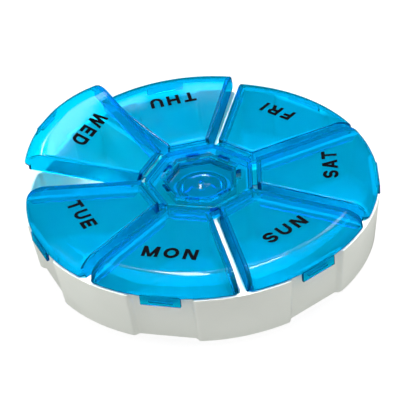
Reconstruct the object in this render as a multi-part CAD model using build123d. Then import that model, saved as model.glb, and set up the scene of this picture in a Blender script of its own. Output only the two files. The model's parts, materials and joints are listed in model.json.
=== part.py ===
"""Round seven-day travel pill organizer: a white tray with seven wedge
compartments, and a translucent lid moulding whose seven flaps turn on living
hinges around a snapped-in hub. Millimetres, +Z up, the tray stands on z = 0,
and the Monday compartment points along -Y. Days run clockwise from above."""

import os
from math import cos, pi, radians, sin, sqrt, tan

from build123d import *

# the seven compartments
DAYS = ("mon", "tue", "wed", "thu", "fri", "sat", "sun")
COUNT = len(DAYS)
PITCH = 360 / COUNT
FIRST_ANGLE = -90
HALF = radians(PITCH / 2)
REST_OPEN = {"wed": 20, "thu": 5}

# tray
TRAY_H = 14.15
TRAY_R_TOP = 45.0
TRAY_R_BOTTOM = 43.4
WALL = 1.2
FLOOR = 1.3
DIVIDER = 1.3
FLAT_BOTTOM = 41.7
FLAT_TOP = 43.3
FLAT_HALF_WIDTH = 7.2
FLAT_STEP_RUN = 1.3
INNER_WALL_APOTHEM = 12.3
POST_R = 7.6
POST_BORE_R = 6.35
POST_H = 12.6
LATCH_RIB_H = 0.9
LATCH_RIB_DEEP = 0.45
LATCH_RIB_HALF_WIDTH = 4.0

# hinge line of every lid
HINGE_APOTHEM = 13.5
HINGE_Z = 17.42
WEB_THICK = 0.3
WEB_LONG = 10.4
HUB_APOTHEM = 12.9
LID_START = 14.1

# lid
LID_TOP = 18.5
PANE = 1.0
LID_R = 44.6
LID_FLAT_R = 39.9
RIM_Z = 14.35
SKIRT_Z = 13.2
SKIRT = 1.0
SKIRT_R = 43.1
INNER_SKIRT_Z = 14.4
GAP_TOP = 1.42
GAP_BOTTOM = 1.06
LID_CORNER_R = 2.0
TAB_HALF_WIDTH = 4.97
TAB_Z = 12.0
TAB_RISE = 16.6
TAB_IN = 43.48
TAB_OUT = 44.75
BEAD_R = 0.32
BEAD_Z = 12.75
BEAD_LONG = 6.0

# hub
HUB_TOP = 17.6
HUB_PLATE = 1.2
HUB_SKIRT_Z = 14.2
HUB_SKIRT = 0.9
RING_APOTHEM = 9.3
CUP_APOTHEM = 7.82
CUP_EDGE_Z = 16.9
CUP_FLOOR_Z = 15.5
CUP_WALL = 1.0
CUP_BASE_Z = 13.5
WINDOW_IN = 8.9
WINDOW_OUT = 10.1
WINDOW_HALF_WIDTH = 1.7
WINDOW_Z = 15.9
DOME_H = 0.35
DOME_R = 5.2
GATE_R = 0.7
GATE_DEEP = 0.15
PLUG_R = 6.2
PLUG_WALL = 1.1
PLUG_Z = 9.5
PLUG_SLOTS = 4
PLUG_SLOT_W = 1.2
PLUG_SLOT_TOP = 12.7

# printed day names
PRINT_R = 32.5
PRINT_THICK = 0.05
CAP_H = 3.9
STROKE = 0.92
SLANT_WIDE = STROKE * 1.12
LETTER_GAP = 1.12
KERN = {"sa": -0.3, "at": -0.6}

# tools reach this far past what they cut
PAST = 1.0
FAR = 60.0


def heptagon(apothem):
    """The regular heptagon whose sides face the seven compartments."""
    corner = apothem / cos(HALF)
    angles = [radians(FIRST_ANGLE + PITCH * (i + 0.5)) for i in range(COUNT)]
    points = [(corner * cos(a), corner * sin(a)) for a in angles]
    return make_face(Polyline(*points, close=True))


def heptagon_bar(apothem, low, high, top_apothem=None):
    """An upright heptagonal prism, or a taper to another apothem."""
    if top_apothem is None:
        return extrude(Pos(0, 0, low) * heptagon(apothem), high - low)
    lower = Pos(0, 0, low) * heptagon(apothem)
    upper = Pos(0, 0, high) * heptagon(top_apothem)
    return loft([lower, upper], ruled=True)


def box(x0, x1, y0, y1, z0, z1):
    """A box given by its limits."""
    return Pos((x0 + x1) / 2, (y0 + y1) / 2, (z0 + z1) / 2) * Box(x1 - x0, y1 - y0, z1 - z0)


def sector(gap, start, reach):
    """The plan of a wedge along +X, its sides a gap away from the dividing planes."""
    near = start * tan(HALF) - gap / cos(HALF)
    far = reach * tan(HALF) - gap / cos(HALF)
    return make_face(Polyline((start, -near), (reach, -far), (reach, far), (start, near), close=True))


def wedge_bar(gap_low, gap_high, start, low, high):
    """An upright wedge whose sides lean from one gap to the other."""
    lower = Pos(0, 0, low) * sector(gap_low, start, FAR)
    upper = Pos(0, 0, high) * sector(gap_high, start, FAR)
    return loft([lower, upper], ruled=True)


def rod(r, low, high):
    """An upright cylinder on the Z axis between two heights."""
    return Pos(0, 0, low) * Cylinder(r, high - low, align=(Align.CENTER, Align.CENTER, Align.MIN))


def turned(points):
    """A solid of revolution about Z from an outline of radii and heights."""
    return revolve(make_face(Polyline(*[(r, 0, z) for r, z in points], close=True)), Axis.Z)


def to_wedge(day):
    """Turns a wedge drawn along +X onto its own day."""
    return Rot(0, 0, FIRST_ANGLE - PITCH * DAYS.index(day))


def opened(day, shape):
    """A lid-borne shape, drawn closed along +X, raised and turned into place."""
    lift = Pos(HINGE_APOTHEM, 0, HINGE_Z) * Rot(0, -REST_OPEN.get(day, 0), 0)
    return to_wedge(day) * (lift * (Pos(-HINGE_APOTHEM, 0, -HINGE_Z) * shape))


# ---- tray ----

def flat_cut(inset, low, high):
    """The block that a tab's flat takes off the wall, moved inward by an inset."""
    lean = (FLAT_TOP - FLAT_BOTTOM) / TRAY_H
    width = FLAT_HALF_WIDTH + inset

    def plan(z):
        x = FLAT_BOTTOM - inset + lean * z
        corners = ((x, -width), (x + FLAT_STEP_RUN, -width - FLAT_STEP_RUN), (FAR, -width - FLAT_STEP_RUN))
        mirror = [(a, -b) for a, b in reversed(corners)]
        return Pos(0, 0, z) * make_face(Polyline(*corners, *mirror, close=True))

    return loft([plan(low), plan(high)], ruled=True)


def tray_body(inset, low):
    """The tray's outside, or its inside when moved inward by a wall."""
    lean = (TRAY_R_TOP - TRAY_R_BOTTOM) / TRAY_H
    top = TRAY_H if inset == 0 else TRAY_H + PAST
    r = TRAY_R_BOTTOM - inset
    body = turned(((0, low), (r + lean * low, low), (r + lean * top, top), (0, top)))
    cut = flat_cut(inset, -PAST, TRAY_H + 2 * PAST)
    for day in DAYS:
        body -= to_wedge(day) * cut
    return body


def make_tray():
    """The white tray: seven wedge compartments around a hollow post."""
    tray = tray_body(0, 0)
    inside = tray_body(WALL, FLOOR)
    pocket = wedge_bar(DIVIDER / 2, DIVIDER / 2, INNER_WALL_APOTHEM, FLOOR, TRAY_H + PAST)
    for day in DAYS:
        tray -= inside & (to_wedge(day) * pocket)
    tray -= heptagon_bar(INNER_WALL_APOTHEM - WALL, FLOOR, TRAY_H + PAST)
    tray = tray + rod(POST_R, 0, POST_H) - rod(POST_BORE_R, FLOOR, TRAY_H)
    lean = (FLAT_TOP - FLAT_BOTTOM) / TRAY_H
    groove_x = FLAT_BOTTOM + lean * (TRAY_H - LATCH_RIB_H) - LATCH_RIB_DEEP
    groove_low = BEAD_Z - 2 * BEAD_R
    half = LATCH_RIB_HALF_WIDTH
    groove = box(groove_x, FAR, -half, half, groove_low, TRAY_H - LATCH_RIB_H)
    for day in DAYS:
        tray -= to_wedge(day) * groove
    return tray


# ---- lids ----

def lid_profile(inset, low):
    """The half section of the lid disc: flat on top, a quarter ellipse down to the rim."""
    top = LID_TOP - inset
    out = LID_R - inset
    flat = LID_FLAT_R
    rim = RIM_Z
    start = (flat, 0, top)
    end = (out, 0, rim)
    mid = (flat + (out - flat) / sqrt(2), 0, rim + (top - rim) / sqrt(2))
    quarter = Spline([start, mid, end], tangents=[(1, 0, 0), (0, 0, -1)])
    foot = [(out, 0, low)] if low < rim else []
    rest = Polyline(end, *foot, (0, 0, low), (0, 0, top), start)
    return revolve(make_face(quarter + rest), Axis.Z)


def lid_plan():
    """A lid's outline from above along +X, its two outer corners rounded."""
    plan = Circle(LID_R) & sector(GAP_BOTTOM, LID_START, FAR)
    return fillet(plan.vertices().sort_by(Axis.X)[-2:], LID_CORNER_R)


def make_lid():
    """One lid drawn closed along +X: pane, rolled rim, skirts, and the latch tab."""
    height = LID_TOP + PAST
    low = SKIRT_Z - PAST
    disc = lid_profile(0, RIM_Z) + rod(SKIRT_R, SKIRT_Z, RIM_Z + PANE)
    lid = disc & wedge_bar(GAP_BOTTOM, GAP_TOP, LID_START, low, height)
    lid &= extrude(Pos(0, 0, low) * lid_plan(), height - low)
    inner_start = LID_START + SKIRT
    hollow = lid_profile(PANE, low)
    room = wedge_bar(GAP_BOTTOM + SKIRT, GAP_TOP + SKIRT, inner_start, low - PAST, height)
    lid -= hollow & room
    lid -= box(0, inner_start, -FAR, FAR, 0, INNER_SKIRT_Z)
    half = TAB_HALF_WIDTH
    tab = box(TAB_IN, TAB_OUT, -half, half, TAB_Z, TAB_RISE) - hollow
    tab += box(TAB_IN, TAB_OUT, -half, half, TAB_Z, RIM_Z)
    bead = Pos(TAB_IN, 0, BEAD_Z) * Rot(90, 0, 0) * Cylinder(BEAD_R, BEAD_LONG)
    return lid + tab + bead


# ---- hub ----

def make_cup():
    """The hub's sunken cup, solid below its domed floor, with a gate dimple."""
    cup = heptagon_bar(CUP_APOTHEM + CUP_WALL, CUP_BASE_Z, HUB_TOP - HUB_PLATE)
    ball = (DOME_R**2 + DOME_H**2) / (2 * DOME_H)
    dome = Pos(0, 0, CUP_FLOOR_Z + DOME_H - ball) * Sphere(ball)
    dome &= rod(DOME_R, CUP_BASE_Z, CUP_FLOOR_Z + PAST)
    dome -= rod(GATE_R, CUP_FLOOR_Z + DOME_H - GATE_DEEP, HUB_TOP)
    hollow = heptagon_bar(CUP_APOTHEM, CUP_FLOOR_Z, HUB_TOP)
    return cup - hollow + dome


def make_plug():
    """The split tube under the hub that snaps into the post."""
    plug = rod(PLUG_R, PLUG_Z, CUP_BASE_Z) - rod(PLUG_R - PLUG_WALL, PLUG_Z, CUP_BASE_Z)
    half = PLUG_SLOT_W / 2
    slot = box(0, FAR, -half, half, PLUG_Z - PAST, PLUG_SLOT_TOP)
    for i in range(PLUG_SLOTS):
        plug -= Rot(0, 0, (i + 0.5) * 360 / PLUG_SLOTS) * slot
    return plug


def make_hub():
    """The heptagonal hub: plate with seven windows, skirt, cup and snap plug."""
    plate = heptagon_bar(HUB_APOTHEM, HUB_TOP - HUB_PLATE, HUB_TOP)
    plate -= heptagon_bar(CUP_APOTHEM, HUB_TOP - HUB_PLATE, HUB_TOP)
    skirt = heptagon_bar(HUB_APOTHEM, HUB_SKIRT_Z, HUB_TOP)
    skirt -= heptagon_bar(HUB_APOTHEM - HUB_SKIRT, HUB_SKIRT_Z, HUB_TOP)
    hub = plate + skirt + make_cup() + make_plug()
    hub -= heptagon_bar(CUP_APOTHEM, CUP_EDGE_Z, HUB_TOP, RING_APOTHEM)
    half = WINDOW_HALF_WIDTH
    window = box(WINDOW_IN, WINDOW_OUT, -half, half, WINDOW_Z, HUB_TOP + PAST)
    for day in DAYS:
        hub -= to_wedge(day) * window
    return hub


def make_web():
    """A living hinge: the thin strip between the hub's side and a lid's inner skirt."""
    half = WEB_LONG / 2
    return box(HUB_APOTHEM, LID_START, -half, half, HINGE_Z - WEB_THICK / 2, HINGE_Z + WEB_THICK / 2)


# ---- printed names: capitals drawn with x to the right and y up ----

def patch(x0, x1, y0, y1):
    """An upright rectangle of ink."""
    return Pos((x0 + x1) / 2, (y0 + y1) / 2) * Rectangle(x1 - x0, y1 - y0)


def slant(x0, x1, y0=0.0, y1=CAP_H, wide=SLANT_WIDE):
    """A leaning stroke with level ends, from x0 at the bottom to x1 at the top."""
    return make_face(Polyline((x0, y0), (x0 + wide, y0), (x1 + wide, y1), (x1, y1), close=True))


def oval(x0, x1, y0, y1):
    """A filled ellipse inside the given limits."""
    return Pos((x0 + x1) / 2, (y0 + y1) / 2) * Ellipse((x1 - x0) / 2, (y1 - y0) / 2)


def oval_ring(x0, x1, y0, y1):
    """An elliptical stroke inside the given limits."""
    return oval(x0, x1, y0, y1) - oval(x0 + STROKE, x1 - STROKE, y0 + STROKE * 0.95, y1 - STROKE * 0.95)


def bowl(x0, x1, y0, y1):
    """A stroke that closes to the right, as in D and R: straight arms and a round end."""
    r = (y1 - y0) / 2
    outer = patch(x0, x1 - r, y0, y1) + oval(x1 - 2 * r, x1, y0, y1)
    low, high = y0 + STROKE, y1 - STROKE
    inner = patch(x0, x1 - r, low, high) + oval(x1 - 2 * r + STROKE, x1 - STROKE, low, high)
    return outer - inner


def letter_a(w=3.7):
    mid = (w - SLANT_WIDE) / 2
    bar = patch(w * 0.2, w * 0.8, CAP_H * 0.2, CAP_H * 0.2 + STROKE * 0.9)
    return w, slant(0, mid) + slant(w - SLANT_WIDE, mid) + bar


def letter_d(w=3.4):
    r = CAP_H / 2
    outer = patch(0, w - r * 0.8, 0, CAP_H) + oval(w - r * 1.6, w, 0, CAP_H)
    inner = patch(STROKE, w - r * 0.8, STROKE, CAP_H - STROKE)
    inner += oval(w - r * 1.6 + STROKE, w - STROKE, STROKE, CAP_H - STROKE)
    return w, outer - inner


def letter_e(w=2.9):
    bars = patch(0, w, 0, STROKE) + patch(0, w, CAP_H - STROKE, CAP_H)
    middle = patch(0, w * 0.92, (CAP_H - STROKE) / 2, (CAP_H + STROKE) / 2)
    return w, patch(0, STROKE, 0, CAP_H) + bars + middle


def letter_f(w=2.8):
    middle = patch(0, w * 0.9, CAP_H * 0.42, CAP_H * 0.42 + STROKE)
    return w, patch(0, STROKE, 0, CAP_H) + patch(0, w, CAP_H - STROKE, CAP_H) + middle


def letter_h(w=3.4):
    middle = patch(0, w, (CAP_H - STROKE) / 2, (CAP_H + STROKE) / 2)
    return w, patch(0, STROKE, 0, CAP_H) + patch(w - STROKE, w, 0, CAP_H) + middle


def letter_i(w=STROKE):
    return w, patch(0, w, 0, CAP_H)


def letter_m(w=4.05):
    sides = patch(0, STROKE, 0, CAP_H) + patch(w - STROKE, w, 0, CAP_H)
    foot = (w - STROKE) / 2
    return w, sides + slant(foot, 0, wide=STROKE) + slant(foot, w - STROKE, wide=STROKE)


def letter_n(w=3.4):
    sides = patch(0, STROKE, 0, CAP_H) + patch(w - STROKE, w, 0, CAP_H)
    return w, sides + slant(w - SLANT_WIDE, 0)


def letter_o(w=3.8):
    return w, oval_ring(0, w, 0, CAP_H)


def letter_r(w=3.4):
    low = CAP_H * 0.4
    head = bowl(0, w * 0.95, low, CAP_H)
    leg = slant(w - STROKE * 1.15, w * 0.42, y1=low + STROKE * 0.6, wide=STROKE * 1.15)
    return w, patch(0, STROKE, 0, CAP_H) + head + leg


def letter_s(w=3.1):
    half = STROKE / 2
    mid = CAP_H / 2
    head = oval_ring(0, w, mid - half, CAP_H)
    head -= patch(w / 2, w + PAST, mid - STROKE, (mid - half + CAP_H) / 2)
    foot = oval_ring(0, w, 0, mid + half)
    foot -= patch(-PAST, w / 2, (mid + half) / 2, mid + STROKE)
    return w, head + foot


def letter_t(w=3.25):
    middle = (w - STROKE) / 2
    return w, patch(0, w, CAP_H - STROKE, CAP_H) + patch(middle, middle + STROKE, 0, CAP_H)


def letter_u(w=3.4):
    r = w / 2
    outer = patch(0, w, r, CAP_H) + oval(0, w, 0, 2 * r)
    inner = patch(STROKE, w - STROKE, r, CAP_H) + oval(STROKE, w - STROKE, STROKE, 2 * r - STROKE)
    return w, outer - inner


def letter_w(w=5.0):
    wide = STROKE
    foot = w * 0.25 - wide * 0.3
    peak = (w - wide) / 2
    left = slant(foot, 0, wide=wide) + slant(foot, peak, wide=wide)
    right = slant(w - wide - foot, peak, wide=wide) + slant(w - wide - foot, w - wide, wide=wide)
    return w, left + right


LETTERS = {
    "a": letter_a, "d": letter_d, "e": letter_e, "f": letter_f, "h": letter_h,
    "i": letter_i, "m": letter_m, "n": letter_n, "o": letter_o, "r": letter_r,
    "s": letter_s, "t": letter_t, "u": letter_u, "w": letter_w,
}


def make_print(day):
    """A day's name in ink on its closed lid along +X, tops towards the hub."""
    ink = Sketch()
    x = 0.0
    for before, letter in zip(" " + day, day):
        width, shape = LETTERS[letter]()
        x += KERN.get(before + letter, 0)
        ink += Pos(x, -CAP_H / 2) * shape
        x += width + LETTER_GAP
    ink = Pos((LETTER_GAP - x) / 2, 0) * ink
    flat = Pos(PRINT_R, 0, LID_TOP) * Rot(0, 0, 90) * ink
    return extrude(flat, PRINT_THICK)


def main():
    os.makedirs("parts", exist_ok=True)
    export_step(make_tray(), "parts/base_tray.step")
    export_step(make_hub(), "parts/lid_hub.step")
    lid = make_lid()
    web = make_web()
    for day in DAYS:
        export_step(opened(day, lid), f"parts/lid_{day}.step")
        export_step(to_wedge(day) * web, f"parts/living_hinge_{day}.step")
        export_step(opened(day, make_print(day)), f"parts/day_print_{day}.step")


main()
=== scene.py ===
"""Looks for the round seven-day travel pill organizer: a white tray under a translucent
blue lid moulding. Shapes are drawn in millimetres in the part's frame and stored in metres."""

import json
import math

import bmesh
import bpy
from mathutils import Matrix, Vector


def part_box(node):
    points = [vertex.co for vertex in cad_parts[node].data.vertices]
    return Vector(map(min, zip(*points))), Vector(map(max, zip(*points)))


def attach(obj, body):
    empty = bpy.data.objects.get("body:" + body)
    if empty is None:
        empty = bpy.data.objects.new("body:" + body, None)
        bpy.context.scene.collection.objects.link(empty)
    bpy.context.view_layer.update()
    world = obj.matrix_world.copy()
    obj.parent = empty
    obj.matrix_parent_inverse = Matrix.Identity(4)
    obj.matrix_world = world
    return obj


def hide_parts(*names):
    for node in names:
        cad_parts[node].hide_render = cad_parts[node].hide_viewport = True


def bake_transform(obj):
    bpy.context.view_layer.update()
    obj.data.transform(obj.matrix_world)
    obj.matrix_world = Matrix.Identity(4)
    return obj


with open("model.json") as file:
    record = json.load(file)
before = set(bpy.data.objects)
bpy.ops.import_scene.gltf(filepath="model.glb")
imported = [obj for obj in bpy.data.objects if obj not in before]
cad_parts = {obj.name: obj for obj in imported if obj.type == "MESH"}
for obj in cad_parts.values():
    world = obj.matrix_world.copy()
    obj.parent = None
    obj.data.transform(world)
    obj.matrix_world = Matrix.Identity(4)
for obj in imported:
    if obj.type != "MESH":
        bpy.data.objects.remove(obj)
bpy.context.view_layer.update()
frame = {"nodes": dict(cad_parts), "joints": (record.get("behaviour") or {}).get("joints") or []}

MM = 0.001
DAYS = ("mon", "tue", "wed", "thu", "fri", "sat", "sun")
COUNT = len(DAYS)
HALF = math.pi / COUNT
ROOT = "tray_and_hub"
HINGES = {j["child"]: j for j in frame["joints"]}

# sizes shared with the CAD model, in millimetres
TRAY_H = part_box("base_tray")[1].z / MM
LID_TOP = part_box("lid_mon")[1].z / MM
HUB_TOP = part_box("lid_hub")[1].z / MM
HINGE_APOTHEM = math.hypot(*HINGES["lid_mon"]["pos_m"][:2]) / MM
HINGE_Z = HINGES["lid_mon"]["pos_m"][2] / MM
TRAY_R = (43.4, 45.0)
FLAT_X = (41.7, 43.3)
FLAT_HALF = 7.2
STEP_RUN = 1.3
WALL = 1.2
FLOOR = 1.3
DIVIDER_HALF = 0.65
INNER_WALL = 12.3
LID_START = 14.1
LID_R = 44.6
LID_FLAT_R = 39.2
RIM_Z = 14.35
SKIRT_Z = 13.2
SKIRT_R = 43.1
INNER_SKIRT_Z = 14.4
PANE = 1.0
RIM_THICK = 0.55
GAP_TOP = 1.3
GAP_BOTTOM = 0.98
HUB_APOTHEM = 12.9
REST_OPEN = {"wed": 20.0, "thu": 5.0}

# sizes of the looks only, in millimetres
STEP_RISE = 1.2
STEP_CORNERS = (0.45, 0.35)
LEAN = 0.4
POCKET_CORNER = 1.6
POCKET_STEP_CORNER = 0.6
POST_IN, POST_OUT, POST_TOP = 6.35, 7.6, 12.6
LID_CORNER = 1.7
LID_CORNER_SHARE = 0.8
SKIRT_THICK = 1.0
LID_EDGE = 0.26
TAB = ((43.85, 44.63), (-4.97, 4.97), (12.0, 14.8))
BEAD = ((43.2, 44.0), (-3.0, 3.0), (12.5, 13.0))
LATCH_EDGE = 0.2
WINDOW = ((8.9, 10.1), (-1.7, 1.7), (15.9, 18.4))
WINDOW_EDGE = 0.15
CUP_FLOOR = 15.5
CUP_BASE = 13.5
DOME_RISE = 0.16
DOME_R = 5.2
WEB_HALF_THICK = 0.15
WEB_HALF_LONG = 5.2


def day_angle(day):
    """The direction of a day's wedge from above, in radians."""
    return -math.pi / 2 - 2 * HALF * DAYS.index(day)


def turn(day):
    """The rotation that takes a wedge drawn along +X onto its day."""
    return Matrix.Rotation(day_angle(day), 4, "Z")


def lift(day, share=1.0):
    """The opening of a day's lid in the stored pose, drawn along +X, in millimetres."""
    pivot = Vector((HINGE_APOTHEM, 0, HINGE_Z))
    angle = -math.radians(REST_OPEN.get(day, 0.0)) * share
    return Matrix.Translation(pivot) @ Matrix.Rotation(angle, 4, "Y") @ Matrix.Translation(-pivot)


# ---------------------------------------------------------------- mesh helpers

class Shell:
    """Collects vertices in millimetres and faces, and turns them into an object."""

    def __init__(self):
        self.points = []
        self.faces = []

    def ring(self, points):
        first = len(self.points)
        self.points += [Vector(p) for p in points]
        return list(range(first, len(self.points)))

    def face(self, *corners):
        kept = [c for i, c in enumerate(corners) if c != corners[i - 1]]
        if len(set(kept)) > 2:
            self.faces.append(kept)

    def band(self, a, b, closed=True):
        """A strip of faces between two rings with the same number of points."""
        n = len(a)
        for i in range(n if closed else n - 1):
            k = (i + 1) % n
            self.face(a[i], a[k], b[k], b[i])

    def fan(self, ring, centre):
        for i in range(len(ring)):
            self.face(ring[i], ring[(i + 1) % len(ring)], centre)

    def object(self, name, crease=32):
        mesh = bpy.data.meshes.new(name)
        mesh.from_pydata([p * MM for p in self.points], [], self.faces)
        bm = bmesh.new()
        bm.from_mesh(mesh)
        bmesh.ops.remove_doubles(bm, verts=bm.verts, dist=1e-7)
        bmesh.ops.recalc_face_normals(bm, faces=bm.faces)
        bm.to_mesh(mesh)
        bm.free()
        mesh.shade_smooth()
        mesh.set_sharp_from_angle(angle=math.radians(crease))
        ob = bpy.data.objects.new(name, mesh)
        bpy.context.scene.collection.objects.link(ob)
        return ob


def baked(ob, crease=32):
    """Applies an object's modifiers to its mesh."""
    bpy.context.view_layer.update()
    graph = bpy.context.evaluated_depsgraph_get()
    mesh = bpy.data.meshes.new_from_object(ob.evaluated_get(graph))
    ob.modifiers.clear()
    ob.data = mesh
    mesh.shade_smooth()
    mesh.set_sharp_from_angle(angle=math.radians(crease))
    return ob


def weighted(ob):
    """Lets the big faces rule the shading, so that flats look flat and only the rounded edges turn."""
    m = ob.modifiers.new("normals", "WEIGHTED_NORMAL")
    m.mode = "FACE_AREA"
    m.weight = 60
    m.keep_sharp = True
    bpy.context.view_layer.update()
    graph = bpy.context.evaluated_depsgraph_get()
    mesh = bpy.data.meshes.new_from_object(ob.evaluated_get(graph))
    ob.modifiers.clear()
    ob.data = mesh
    return ob


def bevelled(ob, width, segments=3, angle=38, crease=32):
    """Rounds an object's sharp edges."""
    m = ob.modifiers.new("round", "BEVEL")
    m.width = width * MM
    m.segments = segments
    m.limit_method = "ANGLE"
    m.angle_limit = math.radians(angle)
    m.use_clamp_overlap = False
    return baked(ob, crease)


def combined(ob, other, operation, crease=32):
    """Joins or cuts two closed objects and drops the second."""
    m = ob.modifiers.new("cut", "BOOLEAN")
    m.object = other
    m.operation = operation
    m.solver = "EXACT"
    baked(ob, crease)
    bpy.data.objects.remove(other)
    return ob


def split_wide(ob):
    """Triangulates the many-sided faces that cuts leave, so that no sliver lies folded on its neighbour."""
    bm = bmesh.new()
    bm.from_mesh(ob.data)
    bmesh.ops.triangulate(bm, faces=[f for f in bm.faces if len(f.verts) > 4])
    bm.to_mesh(ob.data)
    bm.free()
    return ob


def block(name, x, y, z, bevel=0.0, segments=3):
    """A block between limits, its edges rounded."""
    s = Shell()
    low = s.ring([(x[0], y[0], z[0]), (x[1], y[0], z[0]), (x[1], y[1], z[0]), (x[0], y[1], z[0])])
    top = s.ring([(x[0], y[0], z[1]), (x[1], y[0], z[1]), (x[1], y[1], z[1]), (x[0], y[1], z[1])])
    s.band(low, top)
    s.face(*low)
    s.face(*top)
    ob = s.object(name)
    return bevelled(ob, bevel, segments) if bevel else ob


def rounded(points, radii, steps=4):
    """A closed outline with its corners rounded off; a radius of 0 keeps the corner as it is."""
    out = []
    n = len(points)
    for i, p in enumerate(points):
        p = Vector(p)
        r = radii[i]
        if not r:
            out.append(p)
            continue
        before = Vector(points[i - 1]) - p
        after = Vector(points[(i + 1) % n]) - p
        a = p + before.normalized() * min(r, before.length * 0.45)
        b = p + after.normalized() * min(r, after.length * 0.45)
        for k in range(steps + 1):
            t = k / steps
            out.append(a * (1 - t) ** 2 + p * 2 * t * (1 - t) + b * t * t)
    return out


def arc(r, a0, a1, n):
    """Points on a circle about Z, ends included."""
    angles = [a0 + (a1 - a0) * k / n for k in range(n + 1)]
    return [Vector((r * math.cos(a), r * math.sin(a))) for a in angles]


# ---------------------------------------------------------------- tray

def at_height(pair, z):
    """A size that leans from the tray's bottom to its rim."""
    return pair[0] + (pair[1] - pair[0]) * z / TRAY_H


def step_foot(r, x, half):
    """Where the sloping side of a flat meets the circle."""
    lo, hi = 0.0, 6.0
    for _ in range(40):
        t = (lo + hi) / 2
        if math.hypot(x + t, half + t * STEP_RUN / STEP_RISE) < r:
            lo = t
        else:
            hi = t
    return Vector((x + lo, half + lo * STEP_RUN / STEP_RISE))


def tray_outline(z, inset=0.0):
    """The tray's outside at a height, anticlockwise, in 3-D."""
    r = at_height(TRAY_R, z) - inset
    x = at_height(FLAT_X, z) - inset
    half = FLAT_HALF - inset * LEAN
    foot = step_foot(r, x, half)
    beta = math.atan2(foot.y, foot.x)
    local = arc(r, -HALF, -beta, 9)[:-1]
    radii = [0] * len(local)
    local += [Vector((foot.x, -foot.y)), Vector((x, -half))]
    radii += STEP_CORNERS
    local += [Vector((x, half)), Vector((foot.x, foot.y))]
    radii += reversed(STEP_CORNERS)
    tail = arc(r, beta, HALF, 9)[1:-1]
    local += tail
    radii += [0] * len(tail)
    out = []
    for day in reversed(DAYS):
        m = turn(day)
        out += [m @ Vector((p.x, p.y, 0)) for p in local]
    shifted = rounded(out, radii * COUNT)
    return [Vector((p.x, p.y, z)) for p in shifted]


def pocket_outline(day, z, inset=0.0):
    """A compartment's inside at a height."""
    r = at_height(TRAY_R, z) - WALL - inset
    x = at_height(FLAT_X, z) - WALL - inset
    half = FLAT_HALF + WALL * 0.7 - inset * LEAN
    foot = step_foot(r, x, half)
    beta = math.atan2(foot.y, foot.x)
    gap = DIVIDER_HALF + inset
    near_x = INNER_WALL + inset
    near_y = near_x * math.tan(HALF) - gap / math.cos(HALF)
    alpha = HALF - math.asin(gap / r)
    side = arc(r, -alpha, -beta, 7)
    local = [Vector((near_x, -near_y))] + side[:-1]
    radii = [POCKET_CORNER] * 2 + [0] * (len(side) - 2)
    local += [Vector((foot.x, -foot.y)), Vector((x, -half)), Vector((x, half)), Vector((foot.x, foot.y))]
    radii += [POCKET_STEP_CORNER] * 4
    far = arc(r, beta, alpha, 7)[1:]
    local += far + [Vector((near_x, near_y))]
    radii += [0] * (len(far) - 1) + [POCKET_CORNER] * 2
    m = turn(day)
    flat = rounded([Vector((p.x, p.y, 0)) for p in local], radii)
    return [m @ Vector((p.x, p.y, z)) for p in flat]


def heptagon(apothem, z, per_side=6):
    """A heptagonal ring whose sides face the lids."""
    out = []
    for k in range(COUNT * per_side):
        a = -math.pi / 2 + HALF + 2 * math.pi * k / (COUNT * per_side)
        rel = (a + math.pi / 2 + HALF) % (2 * HALF) - HALF
        r = apothem / math.cos(rel)
        out.append(Vector((r * math.cos(a), r * math.sin(a), z)))
    return out


def turned_band(s, profile, steps=96):
    """A closed ring-shaped solid from an outline of radii and heights."""
    angles = [2 * math.pi * k / steps for k in range(steps)]
    rings = [s.ring([(r * math.cos(a), r * math.sin(a), z) for a in angles]) for r, z in profile]
    for a, b in zip(rings, rings[1:] + rings[:1]):
        s.band(a, b)


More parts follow.
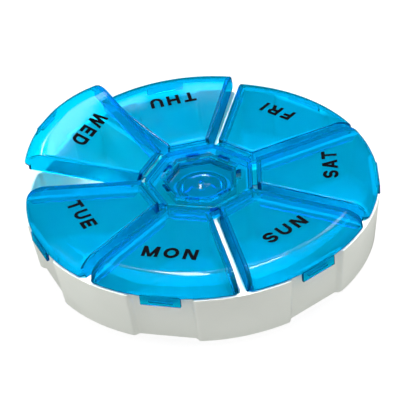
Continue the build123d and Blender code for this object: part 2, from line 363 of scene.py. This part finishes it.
def make_tray():
    """The tray as one skin: rounded outside, seven rounded compartments, hollow middle."""
    bm = bmesh.new()

    def ring(points):
        return [bm.verts.new(p * MM) for p in points]

    def band(a, b):
        for i in range(len(a)):
            k = (i + 1) % len(a)
            bm.faces.new((a[i], a[k], b[k], b[i]))

    def loop_edges(verts):
        pairs = [(v, verts[i - 1]) for i, v in enumerate(verts)]
        return [bm.edges.get(pair) or bm.edges.new(pair) for pair in pairs]

    top = TRAY_H
    # heights and insets up the outside: rounded foot, plain wall, rounded rim
    outside = ((0.0, 0.75), (0.12, 0.38), (0.4, 0.1), (0.8, 0.0), (top * 0.5, 0.0))
    outside += ((top - 0.32, 0.0), (top - 0.1, 0.08), (top, 0.3))
    outer = [ring(tray_outline(z, i)) for z, i in outside]
    for a, b in zip(outer, outer[1:]):
        band(a, b)
    bm.faces.new(outer[0])
    edges = loop_edges(outer[-1])
    # heights and insets down a compartment: rounded rim, plain wall, hollow foot
    levels = ((top, -0.28), (top - 0.1, -0.08), (top - 0.3, 0.0), (FLOOR + 1.5, 0.0))
    levels += ((FLOOR + 0.75, 0.22), (FLOOR + 0.22, 0.75), (FLOOR, 1.5))
    for day in DAYS:
        rings = [ring(pocket_outline(day, z, i)) for z, i in levels]
        for a, b in zip(rings, rings[1:]):
            band(a, b)
        bm.faces.new(rings[-1])
        edges += loop_edges(rings[0])
    inner = INNER_WALL - WALL
    middle = ((inner + 0.25, top), (inner, top - 0.25), (inner, FLOOR + 0.8), (inner - 0.8, FLOOR))
    rings = [ring(heptagon(a, z)) for a, z in middle]
    for a, b in zip(rings, rings[1:]):
        band(a, b)
    bm.faces.new(rings[-1])
    edges += loop_edges(rings[0])
    bmesh.ops.triangle_fill(bm, use_beauty=True, use_dissolve=False, edges=edges)
    bmesh.ops.recalc_face_normals(bm, faces=bm.faces)
    mesh = bpy.data.meshes.new("tray")
    bm.to_mesh(mesh)
    bm.free()
    mesh.shade_smooth()
    mesh.set_sharp_from_angle(angle=math.radians(40))
    tray = bpy.data.objects.new("tray", mesh)
    bpy.context.scene.collection.objects.link(tray)

    s = Shell()
    foot = FLOOR - 0.4
    outside = ((POST_IN, foot), (POST_OUT, foot), (POST_OUT, POST_TOP - 0.3), (POST_OUT - 0.2, POST_TOP))
    turned_band(s, (*outside, (POST_IN + 0.2, POST_TOP), (POST_IN, POST_TOP - 0.2)))
    post = s.object("tray_post")
    return tray, post


# ---------------------------------------------------------------- lids

def lid_rows(inset, rim_inset):
    """Stations from the hinge to the rim: (share along the flat, radius, height)."""
    top = LID_TOP - inset
    out = LID_R - rim_inset
    rows = [("flat", t, top) for t in (0.0, 0.04, 0.055, 0.15, 0.28, 0.42, 0.56, 0.7, 0.82, 0.92, 1.0)]
    steps = 14
    for k in range(1, steps + 1):
        phi = math.pi / 2 * k / steps
        r = LID_FLAT_R + (out - LID_FLAT_R) * math.sin(phi)
        z = RIM_Z + (top - RIM_Z) * math.cos(phi)
        rows.append(("arc", r, z))
    return rows


def plan_point(kind, value, v, gap, start):
    """A point of a lid's plan at a station and a share across, from -1 to 1."""
    def on_arc(r, gap):
        alpha = HALF - math.asin(gap / r)
        return Vector((r * math.cos(v * alpha), r * math.sin(v * alpha)))

    if kind == "flat":
        near = Vector((start, v * (start * math.tan(HALF) - gap / math.cos(HALF))))
        return near.lerp(on_arc(LID_FLAT_R, gap), value)
    over = min(max(0.0, value - (LID_R - LID_CORNER)), LID_CORNER)
    return on_arc(value, gap + (LID_CORNER - math.sqrt(LID_CORNER**2 - over**2)) * LID_CORNER_SHARE)


def foot_height(kind, value, z):
    """How low the skirt reaches at a station."""
    if kind == "flat":
        return INNER_SKIRT_Z if value < 0.045 else SKIRT_Z
    return SKIRT_Z if value < SKIRT_R else min(z, RIM_Z)


def make_lid():
    """One closed lid along +X: pane, rolled rim, skirts, and the tab with its bead."""
    s = Shell()
    m = 30
    shares = [-1 + 2 * j / m for j in range(m + 1)]
    outer_rows, inner_rows = lid_rows(0.0, 0.0), lid_rows(PANE, RIM_THICK)
    inner_start = LID_START + SKIRT_THICK

    def grid(rows, gap, start):
        return [s.ring([(*plan_point(k, t, v, gap, start), z) for v in shares]) for k, t, z in rows]

    outer = grid(outer_rows, GAP_TOP, LID_START)
    inner = grid(inner_rows, GAP_TOP + SKIRT_THICK, inner_start)
    for rings in (outer, inner):
        for a, b in zip(rings, rings[1:]):
            s.band(a, b, closed=False)
    last = len(outer) - 1

    def foot(rows, gap, start, i, v):
        kind, t, z = rows[i]
        p = plan_point(kind, t, v, gap, start)
        return s.ring([(p.x, p.y, min(foot_height(*outer_rows[i]), z))])[0]

    # once round the edge of the lid: hinge, one side, rim, other side
    walk = [(0, j) for j in range(m)] + [(i, m) for i in range(last)]
    walk += [(last, j) for j in range(m, 0, -1)] + [(i, 0) for i in range(last, 0, -1)]
    cells = []
    for i, j in walk:
        if i == last:
            cells.append((outer[i][j], outer[i][j], inner[i][j], inner[i][j]))
            continue
        v = shares[j]
        outside = foot(outer_rows, GAP_BOTTOM, LID_START, i, v)
        inside = foot(inner_rows, GAP_BOTTOM + SKIRT_THICK, inner_start, i, v)
        cells.append((outer[i][j], outside, inside, inner[i][j]))
    for a, b in zip(cells, cells[1:] + cells[:1]):
        for k in range(3):
            s.face(a[k], b[k], b[k + 1], a[k + 1])
    lid = bevelled(s.object("lid_blank"), LID_EDGE, 3)
    combined(lid, block("tab_blank", *TAB, LATCH_EDGE), "UNION")
    combined(lid, block("bead_blank", *BEAD, LATCH_EDGE), "UNION")
    return weighted(split_wide(lid))


# ---------------------------------------------------------------- hub

def make_hub():
    """The hub: a heptagonal plate with seven windows, a sunken cup, a skirt and a plug."""
    s = Shell()
    ball = (DOME_R**2 + DOME_RISE**2) / (2 * DOME_RISE)

    def dome_z(r):
        return CUP_FLOOR + DOME_RISE - ball + math.sqrt(ball**2 - r**2)

    # size, height, and share of the heptagon in the shape, from the middle of the cup to the plug's inside
    profile = [(0.5, dome_z(0.5) - 0.22, 0), (0.72, dome_z(0.7) - 0.02, 0)]
    profile += [(0.95, dome_z(0.95) + 0.05, 0), (1.2, dome_z(1.2), 0)]
    dips = ((2.2, 0), (2.4, 0.07), (2.9, 0.07), (3.1, 0), (4.2, 0), (DOME_R, 0))
    profile += [(r, dome_z(r) - dip, 0) for r, dip in dips]
    profile += [(7.3, CUP_FLOOR, 0.85), (7.62, CUP_FLOOR + 0.12, 1), (7.8, CUP_FLOOR + 0.45, 1)]
    profile += [(7.82, 16.72, 1), (7.92, 16.93, 1), (9.15, 17.5, 1), (9.4, HUB_TOP, 1), (9.6, HUB_TOP, 1)]
    profile += [(12.6, HUB_TOP, 1), (12.68, HUB_TOP, 1), (12.83, HUB_TOP - 0.06, 1)]
    profile += [(HUB_APOTHEM, HUB_TOP - 0.22, 1), (HUB_APOTHEM, 14.35, 1), (12.75, 14.2, 1)]
    profile += [(12.1, 14.2, 1), (12.0, 14.3, 1), (12.0, 16.1, 1), (11.7, 16.4, 1)]
    profile += [(9.1, 16.4, 1), (8.82, 16.15, 1), (8.82, 13.7, 1), (8.62, CUP_BASE, 1)]
    profile += [(6.5, CUP_BASE, 0), (6.2, 13.2, 0), (6.2, 9.8, 0), (6.0, 9.5, 0), (5.25, 9.5, 0)]
    profile += [(5.1, 9.65, 0), (5.1, 13.2, 0), (4.8, CUP_BASE, 0), (0.6, CUP_BASE, 0)]
    per_side = 14
    steps = COUNT * per_side
    rings = []
    for size, z, flat in profile:
        ring = []
        for k in range(steps):
            a = -math.pi / 2 + 2 * math.pi * k / steps
            rel = (a + math.pi / 2 + HALF) % (2 * HALF) - HALF
            r = size * (1 - flat) + flat * min(size / math.cos(rel), size / math.cos(HALF) * 0.992)
            ring.append((r * math.cos(a), r * math.sin(a), z))
        rings.append(s.ring(ring))
    for a, b in zip(rings, rings[1:]):
        s.band(a, b)
    s.fan(rings[0], s.ring([(0, 0, profile[0][1] - 0.02)])[0])
    s.fan(rings[-1], s.ring([(0, 0, profile[-1][1])])[0])
    hub = s.object("hub", crease=24)
    cuts = None
    for day in DAYS:
        cut = block(f"window_{day}", *WINDOW, WINDOW_EDGE, 2)
        cut.data.transform(turn(day))
        cuts = cut if cuts is None else combined(cuts, cut, "UNION")
    return weighted(combined(hub, cuts, "DIFFERENCE", crease=24))


def make_web(day):
    """A living hinge bent as its lid stands: a thin strip of even thickness."""
    s = Shell()
    rows = 12
    rings = []
    for k in range(rows + 1):
        t = k / rows
        x = HUB_APOTHEM + (LID_START - HUB_APOTHEM) * t
        bend = lift(day, t * t * (3 - 2 * t))
        across = [share * WEB_HALF_LONG for share in (-1, -0.5, 0, 0.5, 1)]
        section = [Vector((x, y, HINGE_Z - WEB_HALF_THICK)) for y in across]
        section += [Vector((p.x, p.y, HINGE_Z + WEB_HALF_THICK)) for p in reversed(section)]
        rings.append(s.ring([bend @ p for p in section]))
    for a, b in zip(rings, rings[1:]):
        s.band(a, b)
    s.face(*rings[0])
    s.face(*rings[-1])
    web = s.object(f"hinge_web_{day}")
    web.data.transform(turn(day))
    return web


# ---------------------------------------------------------------- materials

def new_material(name):
    mat = bpy.data.materials.new(name)
    mat.use_nodes = True
    nt = mat.node_tree
    return mat, nt, nt.nodes["Principled BSDF"]


def noise(nt, scale, detail=3.0, rough=0.55):
    """Noise over the object's own coordinates, per metre."""
    coord = nt.nodes.new("ShaderNodeTexCoord")
    n = nt.nodes.new("ShaderNodeTexNoise")
    n.inputs["Scale"].default_value = scale
    n.inputs["Detail"].default_value = detail
    n.inputs["Roughness"].default_value = rough
    nt.links.new(coord.outputs["Object"], n.inputs["Vector"])
    return n.outputs["Fac"]


def ramp(nt, source, low, high, a=0.35, b=0.65):
    """Maps a factor to a range of colours or greys."""
    r = nt.nodes.new("ShaderNodeValToRGB")
    r.color_ramp.elements[0].position = a
    r.color_ramp.elements[1].position = b
    for element, value in zip(r.color_ramp.elements, (low, high)):
        element.color = (*value, 1) if isinstance(value, tuple) else (value, value, value, 1)
    nt.links.new(source, r.inputs["Fac"])
    return r.outputs["Color"]


def bump(nt, source, strength, distance, before=None):
    b = nt.nodes.new("ShaderNodeBump")
    b.inputs["Strength"].default_value = strength
    b.inputs["Distance"].default_value = distance
    nt.links.new(source, b.inputs["Height"])
    if before is not None:
        nt.links.new(before, b.inputs["Normal"])
    return b.outputs["Normal"]


def tray_plastic():
    """White moulded plastic: satin, faintly mottled, very fine grain."""
    mat, nt, p = new_material("tray_white_plastic")
    tint = ramp(nt, noise(nt, 60, 2), (0.790, 0.822, 0.755), (0.822, 0.852, 0.787))
    nt.links.new(tint, p.inputs["Base Color"])
    nt.links.new(ramp(nt, noise(nt, 220, 3), 0.34, 0.46), p.inputs["Roughness"])
    p.inputs["IOR"].default_value = 1.49
    p.inputs["Specular IOR Level"].default_value = 0.35
    wave = bump(nt, noise(nt, 45, 1), 0.12, 0.0004)
    nt.links.new(bump(nt, noise(nt, 3500, 2), 0.08, 0.00002, wave), p.inputs["Normal"])
    return mat


def lid_plastic():
    """Clear blue moulded plastic. Its tint is in its depth: thin walls are cyan, thick ones deep blue.
    `taken` is how much red, green and blue a metre of it absorbs."""
    mat, nt, p = new_material("lid_blue_plastic")
    p.inputs["Base Color"].default_value = (0.0, 0.86, 1.0, 1)
    p.inputs["Transmission Weight"].default_value = 0.92
    p.inputs["IOR"].default_value = 1.45
    nt.links.new(ramp(nt, noise(nt, 90, 3), 0.03, 0.075), p.inputs["Roughness"])
    wave = bump(nt, noise(nt, 38, 1.5), 0.10, 0.0003)
    nt.links.new(bump(nt, noise(nt, 900, 2), 0.03, 0.00002, wave), p.inputs["Normal"])
    depth = nt.nodes.new("ShaderNodeVolumeAbsorption")
    taken = (3500.0, 315.0, 45.0)
    density = 3600.0
    depth.inputs["Color"].default_value = (*[1 - t / density for t in taken], 1)
    depth.inputs["Density"].default_value = density
    nt.links.new(depth.outputs["Volume"], nt.nodes["Material Output"].inputs["Volume"])
    return mat


def print_ink():
    """Black pad-print ink: nearly flat, a little uneven in gloss and density."""
    mat, nt, p = new_material("black_print_ink")
    tint = ramp(nt, noise(nt, 1400, 3), (0.0005, 0.0005, 0.0009), (0.0016, 0.0016, 0.0024))
    nt.links.new(tint, p.inputs["Base Color"])
    nt.links.new(ramp(nt, noise(nt, 800, 3), 0.42, 0.6), p.inputs["Roughness"])
    p.inputs["Specular IOR Level"].default_value = 0.06
    nt.links.new(bump(nt, noise(nt, 6000, 2), 0.15, 0.00001), p.inputs["Normal"])
    return mat


def dress(ob, mat):
    ob.data.materials.clear()
    ob.data.materials.append(mat)
    return ob


# ---------------------------------------------------------------- the object

white, blue, ink = tray_plastic(), lid_plastic(), print_ink()

tray, post = make_tray()
for piece in (tray, post):
    piece.visible_glossy = False
    dress(piece, white)
    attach(piece, ROOT)
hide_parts("base_tray")

hub = dress(make_hub(), blue)
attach(hub, ROOT)
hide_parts("lid_hub")

blank = make_lid()
for day in DAYS:
    lid = bpy.data.objects.new(f"lid_shell_{day}", blank.data.copy())
    bpy.context.scene.collection.objects.link(lid)
    scale = Matrix.Scale(MM, 4)
    lid.data.transform(scale @ turn(day) @ lift(day) @ scale.inverted())
    dress(lid, blue)
    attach(lid, f"lid_{day}")
    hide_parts(f"lid_{day}")
    web = dress(make_web(day), blue)
    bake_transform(web)
    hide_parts(f"living_hinge_{day}")
    name = frame["nodes"][f"day_print_{day}"]
    name.data.materials.clear()
    name.data.materials.append(ink)
bpy.data.objects.remove(blank)


# ---------------------------------------------------------------- floor, light, camera

def make_floor():
    """A plain white floor that glows a little, as a light table does, so it stays white."""
    s = Shell()
    reach, low = 2500, -0.02
    ring = s.ring([(-reach, -reach, low), (reach, -reach, low), (reach, reach, low), (-reach, reach, low)])
    s.face(*ring)
    ob = s.object("floor")
    mat, nt, p = new_material("floor_white")
    p.inputs["Base Color"].default_value = (0.12, 0.12, 0.12, 1)
    p.inputs["Roughness"].default_value = 0.9
    p.inputs["Specular IOR Level"].default_value = 0.0
    p.inputs["Emission Color"].default_value = (1, 1, 1, 1)
    p.inputs["Emission Strength"].default_value = 0.9
    ob.data.materials.append(mat)
    ob.visible_glossy = False


def softbox(name, azimuth, elevation, distance, size, radiance, role="both"):
    """A soft light of a given brightness that looks at the middle of the box. Azimuth 0 is in front,
    90 to the right. A "fill" lights without being mirrored; a "glint" is only ever seen mirrored."""
    a, e = math.radians(azimuth), math.radians(elevation)
    away = Vector((math.sin(a) * math.cos(e), -math.cos(a) * math.cos(e), math.sin(e)))
    light = bpy.data.lights.new(name, "AREA")
    light.shape = "RECTANGLE"
    light.size, light.size_y = size
    light.energy = radiance * math.pi * size[0] * size[1]
    ob = bpy.data.objects.new(name, light)
    bpy.context.scene.collection.objects.link(ob)
    ob.location = Vector((0, 0, 0.012)) + away * distance
    right = Vector((math.cos(a), math.sin(a), 0))
    frame_axes = Matrix((right, away.cross(right), away)).transposed().to_4x4()
    ob.matrix_world = Matrix.Translation(ob.location) @ frame_axes
    ob.visible_glossy = role != "fill"
    ob.visible_diffuse = ob.visible_transmission = role != "glint"
    return ob


make_floor()
softbox("overhead", 185, 76, 0.6, (0.6, 0.6), 9.8, "fill")
softbox("right_fill", 115, 30, 0.7, (0.4, 0.3), 2.2, "fill")
softbox("left_fill", -80, 30, 0.7, (0.4, 0.3), 4.4, "fill")
softbox("left_glint", 175.5, 46.9, 2.0, (0.35, 0.21), 3.4, "glint")
softbox("back_glint", 196.0, 47.0, 2.0, (0.5, 0.08), 4.0, "glint")
softbox("thu_glint_left", 198.8, 42.45, 2.0, (0.07, 0.026), 2.0, "glint")
softbox("thu_glint_right", 194.2, 42.1, 2.0, (0.06, 0.03), 2.0, "glint")
softbox("rim_glint_front", 200.2, 55.0, 2.0, (0.12, 0.6), 16.0, "glint")
softbox("rim_glint_right", 181.5, 60.0, 2.0, (0.09, 0.4), 16.0, "glint")

world = bpy.data.worlds.new("studio")
bpy.context.scene.world = world
world.use_nodes = True
world.node_tree.nodes["Background"].inputs["Color"].default_value = (1, 1, 1, 1)
world.node_tree.nodes["Background"].inputs["Strength"].default_value = 0.1
world.cycles_visibility.glossy = False


def make_camera():
    """The camera stands in front of the box, a little to its right, and leans slightly to one side."""
    azimuth, elevation, roll, distance = 15.95, 36.84, -5.52, 450.0
    aim = Vector((1.86, -1.14, 7.82)) * MM
    a, e, r = math.radians(azimuth), math.radians(elevation), math.radians(roll)
    back = Vector((math.sin(a) * math.cos(e), -math.cos(a) * math.cos(e), math.sin(e)))
    side = Vector((math.cos(a), math.sin(a), 0))
    up = back.cross(side)
    side, up = side * math.cos(r) + up * math.sin(r), up * math.cos(r) - side * math.sin(r)
    data = bpy.data.cameras.new("camera")
    data.lens = 151.73
    data.sensor_width = 36
    ob = bpy.data.objects.new("camera", data)
    bpy.context.scene.collection.objects.link(ob)
    rows = Matrix((side, up, back)).transposed().to_4x4()
    rows.translation = aim + back * distance * MM
    ob.matrix_world = rows
    bpy.context.scene.camera = ob


make_camera()
scene = bpy.context.scene
scene.view_settings.view_transform = "Standard"
scene.cycles.use_denoising = True
scene.cycles.sample_clamp_indirect = 40
scene.cycles.transmission_bounces = 16
scene.cycles.max_bounces = 20
